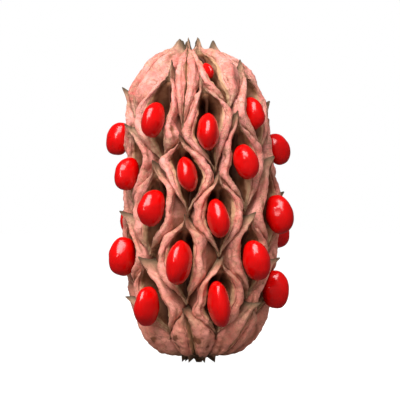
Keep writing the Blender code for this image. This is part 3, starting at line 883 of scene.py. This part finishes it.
def cavity_colour(shade, colour, ring, crease_shade_and_spots, clouds):
    # Tan rim on the inner edge of each lip, painted shade in the creases with the brown spots, the brown
    # cavity with painted shade on its floor, and painted shade in the groove where pods meet; also where the
    # cavity is
    rim = shade.ramp(ring, [(0.50, 0.0), (0.57, 0.9), (0.70, 1.0), (0.76, 0.3)])
    colour = shade.mix(shade.maths("MULTIPLY", rim, 0.85), colour, RIM_TAN)
    # Painted shade in the creases and dents, together with the real brown spots
    colour = shade.mix(shade.ramp(crease_shade_and_spots, [(0.12, 0.0), (0.75, 0.9)]), colour, SHADE_AND_SPOT_BROWN)
    inside = shade.ramp(ring, [(0.69, 0.0), (0.76, 1.0)])
    cavity = shade.mix(shade.ramp(clouds, [(0.35, 0.0), (0.65, 1.0)]), CAVITY_DARK, CAVITY_LIGHT)
    colour = shade.mix(inside, colour, cavity)
    # Painted shade darkening the floor of each cavity
    colour = shade.mix(shade.ramp(ring, [(0.80, 0.0), (0.92, 0.95)]), colour, CAVITY_FLOOR_SHADE)
    # Painted shade darkening the groove where pods meet
    groove_shade = shade.ramp(ring, [(0.0, 1.0), (0.12, 0.75), (0.20, 0.0)])
    return shade.mix(shade.maths("MULTIPLY", groove_shade, 0.9), colour, GROOVE_SHADE_BROWN), inside


def end_colour(shade, colour, along, inside, grain):
    # Greenish tan towards both ends of a pod, except in its cavity, then the grey-brown beak
    ends = shade.ramp(along, [(0.04, 0.9), (0.17, 0.55), (0.30, 0.0), (0.72, 0.0), (0.88, 0.55)])
    olive = shade.mix(shade.ramp(grain, [(0.42, 0.0), (0.58, 1.0)]), OLIVE_DARK, OLIVE_LIGHT)
    outside = shade.maths("SUBTRACT", 1.0, inside)
    colour = shade.mix(shade.maths("MULTIPLY", ends, outside), colour, olive)
    beak = shade.ramp(along, [(0.90, 0.0), (0.965, 0.8), (1.0, 1.0)])
    return shade.mix(beak, colour, shade.ramp(along, [(0.93, BEAK_FOOT), (0.99, BEAK_TIP)]))


def pod_material():
    # Leathery pods: pink skin, tan rims, dark cavities and grey-brown beaks, with painted shade in creases,
    # grooves and cavity floors
    shade = Shade("pod_skin")
    # The alpha part carries painted shade in the creases and dents, and the brown spots
    ring, along, crease_shade_and_spots = shade.form()
    clouds = shade.noise(190.0, 5.0, 0.6)
    grain = shade.noise(620.0, 6.0, 0.65, 0.6)
    specks = shade.noise(1300.0, 3.0, 0.6)
    cracks = shade.maths("MULTIPLY", shade.ramp(shade.cells(560.0), [(0.0, 0.75), (0.055, 0.0)]),
                         shade.ramp(grain, [(0.46, 0.0), (0.56, 1.0)]))
    colour = skin_colour(shade, clouds, grain, specks, cracks)
    colour, inside = cavity_colour(shade, colour, ring, crease_shade_and_spots, clouds)
    colour = end_colour(shade, colour, along, inside, grain)
    shade.link(colour, shade.shader.inputs["Base Color"])
    shade.link(shade.ramp(clouds, [(0.3, 0.50), (0.7, 0.64)]), shade.shader.inputs["Roughness"])
    shade.shader.inputs["Specular IOR Level"].default_value = 0.18
    heights = shade.maths("ADD", shade.maths("MULTIPLY", grain, 0.5), shade.maths("MULTIPLY", specks, 0.3))
    heights = shade.maths("SUBTRACT", heights, shade.maths("MULTIPLY", cracks, 0.25))
    shade.bump(heights, 0.6, 0.0004)
    return shade.material


def scar_material():
    # Dry brown wood
    shade = Shade("scar_wood")
    grain = shade.noise(900.0, 5.0, 0.6)
    colour = shade.ramp(grain, [(0.35, SCAR_DARK), (0.65, SCAR_LIGHT)])
    shade.link(colour, shade.shader.inputs["Base Color"])
    shade.shader.inputs["Roughness"].default_value = 0.8
    return shade.material


def seed_material():
    # Waxy, glossy red skin, with painted shade making it deeper red low down and brighter on top, small dark
    # dots and faint dents
    shade = Shade("seed_skin")
    height = shade.form()[0]
    blotch = shade.ramp(shade.noise(260.0, 4.0, 0.5), [(0.45, 0.0), (0.7, 0.35)])
    dots = shade.ramp(shade.noise(900.0, 2.0, 0.5), [(0.70, 0.0), (0.76, 0.55)])
    # Painted shade: the red darkens from the top of each seed to its bottom
    colour = shade.mix(blotch, shade.ramp(height, SEED_REDS_WITH_PAINTED_SHADE), SEED_BLOTCH)
    colour = shade.mix(dots, colour, SEED_DOT)
    shade.link(colour, shade.shader.inputs["Base Color"])
    shade.shader.inputs["Roughness"].default_value = 0.19
    shade.shader.inputs["Specular IOR Level"].default_value = 0.45
    shade.bump(shade.noise(420.0, 3.0, 0.5), 0.15, 0.0006)
    return shade.material


def floor_material():
    # Pale floor: white where the camera sees it, darker in the light that it sends back
    shade = Shade("pale_floor")
    shade.shader.inputs["Base Color"].default_value = (*FLOOR_GREY, 1.0)
    shade.shader.inputs["Roughness"].default_value = 0.9
    glow = shade.nodes.new("ShaderNodeEmission")
    glow.inputs["Strength"].default_value = 0.98
    join = shade.nodes.new("ShaderNodeAddShader")
    pick = shade.nodes.new("ShaderNodeMixShader")
    path = shade.nodes.new("ShaderNodeLightPath")
    shade.link(shade.shader.outputs["BSDF"], join.inputs[0])
    shade.link(glow.outputs["Emission"], join.inputs[1])
    shade.link(path.outputs["Is Camera Ray"], pick.inputs["Fac"])
    shade.link(shade.shader.outputs["BSDF"], pick.inputs[1])
    shade.link(join.outputs["Shader"], pick.inputs[2])
    shade.link(pick.outputs["Shader"], shade.out.inputs["Surface"])
    return shade.material


# Studio, in metres: what every light points at, and the lights with their place, width and height,
# power in W, colour, and whether glossy skin shows them
AIM = (0.0, 0.0, 0.05)
LIGHTS = [
    ("softbox", (-0.12, -0.32, 0.42), (0.36, 0.36), 4.2, WHITE, True),
    ("strip", (-0.30, -0.46, 0.26), (0.05, 0.28), 0.6, WHITE, True),
    ("front_fill", (0.12, -0.75, 0.02), (1.1, 0.6), 1.0, WARM, False),
    ("back_fill", (0.16, 0.50, 0.34), (0.5, 0.5), 3.0, WARM, False),
]
FLOOR_HALF = 3.0

# Brightness of the surroundings where the camera sees them, in glossy skin, and otherwise
SEEN_LIGHT = 1.0
GLOSSY_LIGHT = 0.12
SOFT_LIGHT = 0.42

# Level view of the front: 116 mm across at the cone fills the frame
CAMERA_PLACE = (0.0003, -0.8056, 0.047)
CAMERA_LENS = 250.0
SENSOR_WIDTH = 36.0


def area_light(name, spot, size, power, colour, glossy):
    light = bpy.data.lights.new(name, "AREA")
    light.shape = "RECTANGLE"
    light.size, light.size_y = size
    light.energy = power
    light.color = colour
    obj = bpy.data.objects.new(name, light)
    obj.location = spot
    obj.rotation_euler = (Vector(AIM) - Vector(spot)).to_track_quat("-Z", "Y").to_euler()
    obj.visible_glossy = glossy
    bpy.context.collection.objects.link(obj)


def background(nodes, colour, strength):
    node = nodes.new("ShaderNodeBackground")
    node.inputs["Color"].default_value = (*colour, 1.0)
    node.inputs["Strength"].default_value = strength
    return node.outputs["Background"]


def choose(nodes, links, share, a, b):
    # One of two shaders, the second where the share is 1
    node = nodes.new("ShaderNodeMixShader")
    links.new(share, node.inputs["Fac"])
    links.new(a, node.inputs[1])
    links.new(b, node.inputs[2])
    return node.outputs["Shader"]


def surroundings():
    # White where the camera sees them, dim in glossy skin and soft otherwise
    world = bpy.data.worlds.new("studio")
    bpy.context.scene.world = world
    world.use_nodes = True
    nodes, links = world.node_tree.nodes, world.node_tree.links
    nodes.clear()
    path = nodes.new("ShaderNodeLightPath")
    unseen = choose(nodes, links, path.outputs["Is Glossy Ray"], background(nodes, SKY, SOFT_LIGHT),
                    background(nodes, SKY, GLOSSY_LIGHT))
    light = choose(nodes, links, path.outputs["Is Camera Ray"], unseen, background(nodes, WHITE, SEEN_LIGHT))
    out = nodes.new("ShaderNodeOutputWorld")
    links.new(light, out.inputs["Surface"])


def floor():
    half = FLOOR_HALF
    mesh = bpy.data.meshes.new("floor")
    corners = [(-half, -half, 0), (half, -half, 0), (half, half, 0), (-half, half, 0)]
    mesh.from_pydata(corners, [], [(0, 1, 2, 3)])
    mesh.materials.append(floor_material())
    obj = bpy.data.objects.new("floor", mesh)
    obj.visible_glossy = False
    bpy.context.collection.objects.link(obj)


def studio():
    # White floor and surroundings, a broad soft light above, a narrow one beside it, weak ones around
    bpy.context.scene.view_settings.view_transform = "Standard"
    surroundings()
    floor()
    for name, spot, size, power, colour, glossy in LIGHTS:
        area_light(name, spot, size, power, colour, glossy)


def camera():
    lens = bpy.data.cameras.new("camera")
    lens.lens = CAMERA_LENS
    lens.sensor_width = SENSOR_WIDTH
    obj = bpy.data.objects.new("camera", lens)
    obj.location = CAMERA_PLACE
    obj.rotation_euler = (math.radians(90.0), 0.0, 0.0)
    bpy.context.collection.objects.link(obj)
    bpy.context.scene.camera = obj


def main():
    camera()
    studio()
    for piece in make_pods(pod_material()):
        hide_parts("follicetum")
        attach(piece, "root")
    verts, faces = scar_mesh()
    scar = new_object("stalk_scar", verts, faces, scar_material())
    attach(scar, "root")
    for piece in make_seeds(seed_material()):
        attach(piece, "root")


main()
